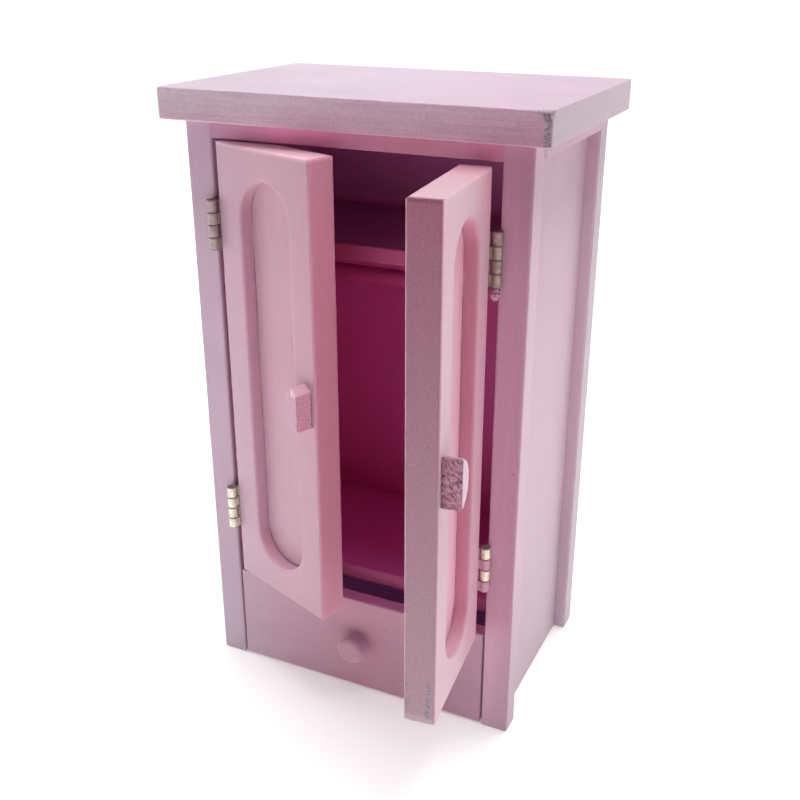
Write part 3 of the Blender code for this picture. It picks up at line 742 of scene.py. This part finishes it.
def build_paint_lump():
    """Paint that ran and set under the barrel of the right upper hinge, on the post's corner."""
    axis = Vector(JOINTS["right_door_hinge"]["pos_m"])
    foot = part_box("right_upper_hinge_post_leaf")[0].z
    shape = bmesh.new()
    bmesh.ops.create_icosphere(shape, subdivisions=5, radius=1.0)
    for vertex in shape.verts:
        swell = 1 + LUMP_SWELL * noise.fractal(vertex.co * LUMP_DETAIL, 1.0, 2.0, 3)
        vertex.co = vertex.co * Vector(LUMP_SIZE) * swell
        reach = math.hypot(vertex.co.x, vertex.co.y)
        if reach > LUMP_REACH:
            vertex.co.xy *= LUMP_REACH / reach
        vertex.co += Vector((axis.x, axis.y, foot - 0.9 * LUMP_SIZE[2]))
    mesh = bpy.data.meshes.new("paint_lump")
    shape.to_mesh(mesh)
    shape.free()
    for label in MARKS:
        write_attribute(mesh, label, np.zeros(len(mesh.vertices)))
    heights = np.array([vertex.co.z for vertex in mesh.vertices])
    # A dark band where the nick is: painted shade.
    nick_shade = np.exp(-((heights - (foot - NICK_DROP)) / NICK_HEIGHT) ** 2)
    write_attribute(mesh, "crack", 0.9 * nick_shade)
    hand_finish(mesh, 60, inside_shaded=False)
    add_piece("paint_lump", mesh, LUMP_PAINT, "carcass", [])


# Doors

def door_matrix(side):
    """From the frame of a shut door, with its origin on the hinge axis, to its rest place."""
    joint = JOINTS[f"{SIDES[side]}_door_hinge"]
    x, y, _ = joint["pos_m"]
    turn = -side * math.radians(joint["range_deg"][0])
    return Matrix.Translation((x, y, 0)) @ Matrix.Rotation(turn, 4, "Z")


def box_in(matrix, *labels):
    """The box of some CAD nodes, measured in the frame of a door."""
    back = matrix.inverted()
    points = [back @ vertex.co for label in labels for vertex in NODES[label].data.vertices]
    low = Vector([min(point[axis] for point in points) for axis in range(3)])
    high = Vector([max(point[axis] for point in points) for axis in range(3)])
    return low, high


def window_spokes(low, high, middle, radius, top, bottom):
    """Spokes from the window's centre line: (foot x, foot z, direction x, direction z)."""
    rows = np.linspace(bottom, top, round((top - bottom) / FINE_GRID) + 1)
    corners = [math.atan2(z - foot, x - middle) % (2 * math.pi)
               for z, foot in ((high.z, top), (low.z, bottom)) for x in (low.x, high.x)]
    turns = np.linspace(0, math.pi, ARC_STEPS + 1)[1:-1]
    upper = sorted([*turns, *(angle for angle in corners if angle < math.pi)])
    lower = sorted([*(turns + math.pi), *(angle for angle in corners if angle > math.pi)])
    spokes = [(middle, z, 1.0, 0.0) for z in rows]
    spokes += [(middle, top, math.cos(angle), math.sin(angle)) for angle in upper]
    spokes += [(middle, z, -1.0, 0.0) for z in rows[::-1]]
    spokes += [(middle, bottom, math.cos(angle), math.sin(angle)) for angle in lower]
    return np.array(spokes)


def build_door_leaf(side):
    """One door as a single skin: sunk panel, crack round it, rounded lip, face, edges, back."""
    side_name = SIDES[side]
    place = door_matrix(side)
    labels = [f"{side_name}_door_frame", f"{side_name}_door_panel"]
    low, high = box_in(place, *labels)
    low.x += FREE_SIDE_INSET * (side == RIGHT)
    high.x -= FREE_SIDE_INSET * (side == LEFT)
    window = window_box(side, place)
    radius = (window[1] - window[0]) / 2
    middle = (window[0] + window[1]) / 2
    spokes = window_spokes(low, high, middle, radius, window[3] - radius, window[2] + radius)
    foot, way = spokes[:, :2], spokes[:, 2:]

    def at_window(offset, depth):
        flat = foot + way * (radius + offset)
        return np.stack([flat[:, 0], np.full(len(flat), low.y + depth), flat[:, 1]], -1)

    def reach(inset):
        with np.errstate(divide="ignore", invalid="ignore"):
            limit = np.where(way[:, 0] > 0, high.x - inset, low.x + inset)
            run_x = np.where(np.abs(way[:, 0]) > 1e-9, (limit - foot[:, 0]) / way[:, 0], np.inf)
            limit = np.where(way[:, 1] > 0, high.z - inset, low.z + inset)
            run_z = np.where(np.abs(way[:, 1]) > 1e-9, (limit - foot[:, 1]) / way[:, 1], np.inf)
        return np.minimum(run_x, run_z)

    def at_side(share, inset, depth):
        """Share 1 is the outer side, 0 is the centre line."""
        flat = foot + way * (reach(inset) * share)[:, None]
        return np.stack([flat[:, 0], np.full(len(flat), low.y + depth), flat[:, 1]], -1)

    rings, edges, cracks, panels, walls = [], [], [], [], []

    def ring(points, edge=0.0, crack=0.0, panel=0.0, wall=0.0):
        rings.append(points)
        edges.append(edge)
        cracks.append(crack)
        panels.append(panel)
        walls.append(wall)

    open_share = crack_along(spokes, middle, radius, side)
    open_depth = RECESS_DEPTH + CRACK_DEPTH * open_share
    # The sunk panel is marked for its tint of painted light.
    for share in (1.0, 0.75, 0.5, 0.25, 0.1):
        ring(at_window(-radius * share, RECESS_DEPTH), panel=1.0)
    ring(at_window(-CRACK_WIDTH * 2.5, RECESS_DEPTH), panel=1.0)
    ring(at_window(-CRACK_WIDTH, RECESS_DEPTH), crack=0.5, panel=1.0)
    ring(at_window(-CRACK_WIDTH * 0.6, open_depth), crack=1.0, panel=0.5)
    ring(at_window(0, open_depth), crack=1.0)
    ring(at_window(0, RECESS_DEPTH), crack=0.5, wall=1.0)
    for depth in np.linspace(RECESS_DEPTH - 0.0003, LIP_RADIUS, 4):
        ring(at_window(0, depth), wall=1.0)
    for angle in np.radians((22.5, 45, 67.5, 90)):
        ring(at_window(LIP_RADIUS * (1 - math.cos(angle)), LIP_RADIUS * (1 - math.sin(angle))),
             edge=0.5 * math.sin(2 * angle), wall=math.cos(angle))
    lip, rim = at_window(LIP_RADIUS, 0), at_side(1, 2 * EDGE_RADIUS, 0)
    for share in (0.08, 0.3, 0.6, 0.85, 1.0):
        ring(lip + (rim - lip) * share)
    thickness = high.y - low.y
    for angle in np.radians((0, 22.5, 45, 67.5, 90)):
        ring(at_side(1, EDGE_RADIUS * (1 - math.sin(angle)), EDGE_RADIUS * (1 - math.cos(angle))),
             edge=math.sin(2 * angle))
    for depth in np.linspace(2 * EDGE_RADIUS, thickness - 2 * EDGE_RADIUS, 15):
        ring(at_side(1, 0, depth))
    for angle in np.radians((90, 67.5, 45, 22.5, 0)):
        ring(at_side(1, EDGE_RADIUS * (1 - math.sin(angle)),
                     thickness - EDGE_RADIUS * (1 - math.cos(angle))), edge=math.sin(2 * angle))
    for share in (0.95, 0.7, 0.4, 0.15, 0.0):
        ring(at_side(share, EDGE_RADIUS, thickness))

    points, edge, quads = loft_skin(rings, edges)
    crack = np.repeat(cracks, len(spokes)) * np.tile(open_share, len(rings))
    # Only the walls that face up take the wall tint, a painted highlight where light falls.
    faces_up = np.clip(-way[:, 1], 0, 1) ** 2
    wall = np.repeat(walls, len(spokes)) * np.tile(faces_up, len(rings))
    free_side = "+X" if side == LEFT else "-X"
    mesh = new_mesh(f"painted_{side_name}_door", points, edge, quads, crack=crack,
                    panel=np.repeat(panels, len(spokes)), wall=wall,
                    sawn=on_side(points, free_side))
    dents = sawn_side_marks(low, high) if side == RIGHT else ()
    hand_finish(mesh, 30 + side, dents, rough=SAWN_DEPTH[side], inside_shaded=False)
    add_piece(f"painted_{side_name}_door", mesh, DOOR_PAINT[side], f"{side_name}_door", labels,
              place=place)


def sawn_side_marks(low, high):
    """A dotted scuff at the foot of the right door's free side, near its front, and three chips
    near its back."""
    dents = [(Vector((low.x, high.y - CHIP_INSET, low.z + rise)), CHIP_RADIUS, CHIP_DEPTH, 1.0)
             for rise in CHIP_RISES]
    for step in range(SCUFF_MARKS):
        inset = SCUFF_INSET + SCUFF_SWAY * math.sin(step * SWING_STEP)
        place = Vector((low.x, low.y + inset, low.z + SCUFF_FOOT + SCUFF_PITCH * step))
        dents.append((place, SCUFF_RADIUS, SCUFF_DEPTH, SCUFF_WEAR - SCUFF_FADE * step))
    return dents


def crack_along(spokes, middle, radius, side):
    """How open the crack round a sunk panel is at each spoke: most on the side of the hinge,
    least opposite it, and broken by chance."""
    share = []
    for x, z, way_x, way_z in spokes:
        place = Vector((x + way_x * radius, 0.0, z + way_z * radius))
        to_hinge = 0.5 + 0.5 * side * (place.x - middle) / radius
        chance = noise.noise(place / CRACK_RUN + Vector((side, 0, 0)))
        share.append(clamped((CRACK_MEAN + CRACK_SPREAD * chance)
                             * (CRACK_LEAST + CRACK_RISE * to_hinge)))
    return np.array(share)


def window_box(side, place):
    """The window's sides in the frame of the door: left, right, bottom, top. They are the
    innermost points of the door frame's front layer, read from its mesh."""
    back = place.inverted()
    vertices = [back @ vertex.co for vertex in NODES[f"{SIDES[side]}_door_frame"].data.vertices]
    low, high = box_in(place, f"{SIDES[side]}_door_frame")
    inner = [v for v in vertices if low.x + WINDOW_MARGIN < v.x < high.x - WINDOW_MARGIN
             and low.z + WINDOW_MARGIN < v.z < high.z - WINDOW_MARGIN]
    xs, zs = [v.x for v in inner], [v.z for v in inner]
    return min(xs), max(xs), min(zs), max(zs)


# Knobs

def knob_skin(outline, base, face, radius):
    """A slice with an eased face: outline is its shape in XZ, base and face its Y planes. Also
    gives how much each point is of the crack where the slice meets what it is glued to."""
    centre = outline.mean(0)
    size = np.abs(outline - centre).max()
    out = -1 if face < base else 1
    rings, edges, cracks = [], [], []

    def ring(share, depth, edge=0.0, crack=0.0):
        flat = centre + (outline - centre) * share
        rings.append(np.stack([flat[:, 0], np.full(len(flat), depth), flat[:, 1]], -1))
        edges.append(edge)
        cracks.append(crack)

    for share in (0.0, 0.5, 0.9):
        ring(share, base)
    for number, depth in enumerate(np.linspace(base, face - out * radius, KNOB_STEPS)):
        ring(1.0, depth, crack=1.0 if number < 2 else 0.0)
    for angle in np.radians((22.5, 45, 67.5, 90)):
        ring(1 - radius * (1 - math.cos(angle)) / size, face - out * radius * (1 - math.sin(angle)),
             math.sin(2 * angle))
    flat_share = 1 - radius / size
    for share in (0.8, 0.6, 0.4, 0.2, 0.0):
        ring(flat_share * share, face)
    points, edge, quads = loft_skin(rings, edges)
    return points, edge, quads, np.repeat(cracks, len(outline))


def half_round(flat_x, bulge_x, low_z, high_z, cut):
    """A half disc in XZ with its flat side at flat_x. cut is how much of its top corner is off:
    the lengths along x and z."""
    half, middle = (high_z - low_z) / 2, (high_z + low_z) / 2
    reach = bulge_x - flat_x
    start = math.asin(cut[0] / abs(reach))
    curve = [(flat_x + reach * math.sin(angle), middle + half * math.cos(angle))
             for angle in np.linspace(start, math.pi, KNOB_ARC_STEPS)]
    flat = [(flat_x, z) for z in np.linspace(low_z, high_z - cut[1], KNOB_FLAT_STEPS)[1:]]
    if not any(cut):
        return np.array(curve + flat[:-1])
    first, last = np.array(curve[0]), np.array(flat[-1])
    shares = np.linspace(0, 1, KNOB_CUT_STEPS)[1:-1]
    chamfer = [tuple(last + (first - last) * share) for share in shares]
    return np.array(curve + flat + chamfer)


def build_door_knob(side):
    """A half-round slice sawn from a dowel, torn on its sawn side. The left one has lost its
    upper corner."""
    side_name = SIDES[side]
    place = door_matrix(side)
    label = f"{side_name}_door_knob"
    low, high = box_in(place, label)
    door_low, _ = box_in(place, f"{side_name}_door_frame")
    flat_x, bulge_x = (high.x, low.x) if side == LEFT else (low.x, high.x)
    outline = half_round(flat_x, bulge_x, low.z, high.z, KNOB_CUT[side])
    points, edge, quads, crack = knob_skin(outline, door_low.y, low.y, KNOB_ROUNDING)
    sawn = np.abs(points[:, 0] - flat_x) < 0.5 * TIGHT_RADIUS
    cut_x, cut_z = KNOB_CUT[side]
    # The cut corner is marked panel for its painted highlight.
    over_cut = (points[:, 2] > high.z - cut_z) & (np.abs(points[:, 0] - flat_x) < cut_x)
    mesh = new_mesh(f"painted_{label}", points, edge, quads, crack=crack * sawn, sawn=sawn,
                    panel=over_cut)
    hand_finish(mesh, 40 + side, rough=KNOB_ROUGH[side], pitted=side == RIGHT, inside_shaded=False)
    add_piece(f"painted_{label}", mesh, KNOB_PAINT[side], f"{side_name}_door", [label],
              place=place)


def build_drawer_knob():
    """A short round peg, well rounded at its face."""
    low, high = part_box("drawer_knob")
    front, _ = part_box("drawer_front")
    centre = (low + high) / 2
    radius = (high.x - low.x) / 2
    turns = np.linspace(0, 2 * math.pi, DRAWER_KNOB_STEPS, endpoint=False)
    outline = np.array([(centre.x + radius * math.cos(angle), centre.z + radius * math.sin(angle))
                        for angle in turns])
    points, _, quads, _ = knob_skin(outline, front.y, low.y, DRAWER_KNOB_ROUNDING)
    from_axis = np.hypot(points[:, 0] - centre.x, points[:, 2] - centre.z)
    # The round side is marked sawn for its painted shade.
    mesh = new_mesh("painted_drawer_knob", points, None, quads,
                    sawn=from_axis > radius - 0.5 * TIGHT_RADIUS)
    hand_finish(mesh, 45, rough=DRAWER_KNOB_ROUGH, inside_shaded=False)
    add_piece("painted_drawer_knob", mesh, DRAWER_KNOB_PAINT, "drawer", ["drawer_knob"])


# Drawer

def build_drawer():
    """The painted front and the bare wooden tray behind it."""
    low, high = stretched_box("drawer_front")
    # The top edge is marked sawn for its painted shade.
    add_board("painted_drawer_front", low, high, DRAWER_PAINT, "drawer", ["drawer_front"], 50,
              inside_shaded=False, sawn="+Z")
    over = {"drawer_left_side": ((0, GLUE_GAP, 0), (0, 0, 0), "Y"),
            "drawer_right_side": ((0, GLUE_GAP, 0), (0, 0, 0), "Y"),
            "drawer_bottom": ((GLUE_GAP, GLUE_GAP, 0), (GLUE_GAP, 0, 0), "X"),
            "drawer_back": ((GLUE_GAP, 0, GLUE_GAP), (GLUE_GAP, 0, 0), "X")}
    for seed, (label, (down, up, grain)) in enumerate(over.items()):
        low, high = stretched_box(label, down, up)
        add_board(f"wooden_{label}", low, high, TRAY_WOOD[grain], "drawer", [label], 51 + seed,
                  radius=TIGHT_RADIUS, slot="bare_wood")


# Hinges and the clothes rail: their CAD shapes stay and get their finish

def finish_hinges():
    """Each leaf's brass tone, how much of it is under paint, and softly rounded edges. The
    tones are tarnish and painted light: the lower hinges are much lighter, as lit from the floor.
    """
    looks = {("left", "upper", "post"): ((0.41, 0.32, 0.315), 0.20),
             ("left", "upper", "door"): ((0.44, 0.345, 0.33), 0.20),
             ("left", "lower", "post"): ((0.90, 0.86, 0.69), 0.05),
             ("left", "lower", "door"): ((0.89, 0.85, 0.68), 0.08),
             ("right", "upper", "post"): ((0.31, 0.22, 0.19), 0.30),
             ("right", "upper", "door"): ((0.36, 0.28, 0.23), 0.20),
             ("right", "lower", "post"): ((0.88, 0.82, 0.64), 0.02),
             ("right", "lower", "door"): ((0.72, 0.50, 0.47), 0.90)}
    for (side_name, level, leaf), (tone, paint) in looks.items():
        stem = f"{side_name}_{level}_hinge"
        foot, top = (corner.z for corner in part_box(f"{stem}_{leaf}_leaf"))
        brass = old_brass(f"brass_{side_name}_{level}_{leaf}", tone, paint, foot,
                          (top - foot) / KNUCKLES)
        for label, item in NODES.items():
            on_leaf = label.startswith(f"{stem}_{leaf}_leaf")
            if on_leaf or (leaf == "post" and label == f"{stem}_pin"):
                item.material_slots[0].material = brass
        easing = NODES[f"{stem}_{leaf}_leaf"].modifiers.new("eased", "BEVEL")
        easing.width = LEAF_EASING
        easing.segments = 3
        easing.limit_method = "ANGLE"
        easing.angle_limit = math.radians(50)
    NODES["clothes_rail"].material_slots[0].material = ROD_PAINT


# Studio

def add_area_light(name, place, size, power, colour):
    light = bpy.data.lights.new(name, "AREA")
    light.shape = "RECTANGLE"
    light.size, light.size_y = size
    light.energy = power
    light.color = colour
    item = bpy.data.objects.new(name, light)
    item.location = place
    item.rotation_euler = (Vector(LAMP_AIM) - Vector(place)).to_track_quat("-Z", "Y").to_euler()
    bpy.context.scene.collection.objects.link(item)


def build_surroundings():
    """Dim walls all round, each with its own tint, behind a white that only the camera sees. A
    direction's colour is the sum of the walls' colours, weighted by the squares of its parts."""
    world = bpy.data.worlds.new("studio")
    world.use_nodes = True
    tree = world.node_tree
    way = node(tree, "TexCoord").outputs["Generated"]
    parts = node(tree, "SeparateXYZ", {"Vector": way})
    squares = node(tree, "SeparateXYZ", {
        "Vector": node(tree, "VectorMath", {0: way, 1: way}, operation="MULTIPLY").outputs[0]})
    total = None
    for axis in "XYZ":
        ahead = math_node(tree, "GREATER_THAN", parts.outputs[axis], 0.0)
        wall = mix_colour(tree, ahead, WALLS["-" + axis], WALLS["+" + axis])
        wall.node.name = "wall_" + axis
        wall.node.clamp_result = False
        share = shaded(tree, wall, squares.outputs[axis])
        total = share if total is None else node(
            tree, "VectorMath", {0: total, 1: share}, operation="ADD").outputs[0]
    seen = node(tree, "LightPath").outputs["Is Camera Ray"]
    total = mix_colour(tree, seen, total, (1.0, 1.0, 1.0))
    tree.links.new(total, tree.nodes["Background"].inputs["Color"])
    bpy.context.scene.world = world


def wash_floor(floor):
    """A broad light that falls on the paper alone, and is blocked by nothing above it, so that the
    paper is white up to the wardrobe."""
    light = bpy.data.lights.new("floor_wash", "SUN")
    light.energy = FLOOR_WASH
    light.angle = math.radians(120)
    item = bpy.data.objects.new("floor_wash", light)
    bpy.context.scene.collection.objects.link(item)
    group = bpy.data.collections.new("washed")
    group.objects.link(floor)
    item.light_linking.receiver_collection = group
    item.light_linking.blocker_collection = group


def build_studio():
    level = CAD_BOX[0].z
    corners = [(x * FLOOR_REACH, y * FLOOR_REACH, level)
               for x, y in ((-1, -1), (1, -1), (1, 1), (-1, 1))]
    mesh = bpy.data.meshes.new("studio_floor")
    mesh.from_pydata(corners, [], [(0, 1, 2, 3)])
    mesh.materials.append(studio_paper("studio_paper"))
    floor = bpy.data.objects.new("studio_floor", mesh)
    bpy.context.scene.collection.objects.link(floor)
    wash_floor(floor)
    build_surroundings()
    for name, lamp in LAMPS.items():
        add_area_light(name, *lamp)


def build_camera():
    camera = bpy.data.cameras.new("camera")
    camera.lens = LENS
    camera.sensor_width = SENSOR
    camera.clip_start = 0.01
    item = bpy.data.objects.new("camera", camera)
    azimuth, elevation = CAMERA_AZIMUTH, CAMERA_ELEVATION
    back = Vector((math.sin(azimuth) * math.cos(elevation),
                   -math.cos(azimuth) * math.cos(elevation), math.sin(elevation)))
    turn = (-back).to_track_quat("-Z", "Y").to_matrix().to_4x4()
    item.matrix_world = (Matrix.Translation(CAMERA_PLACE) @ turn
                         @ Matrix.Rotation(CAMERA_ROLL, 4, "Z"))
    bpy.context.scene.collection.objects.link(item)
    bpy.context.scene.camera = item
    bpy.context.scene.view_settings.view_transform = "Standard"


build_top_board()
build_frame()
build_panels()
build_inside()
build_paint_lump()
for door_side in SIDES:
    build_door_leaf(door_side)
    build_door_knob(door_side)
build_drawer()
build_drawer_knob()
finish_hinges()
build_studio()
build_camera()
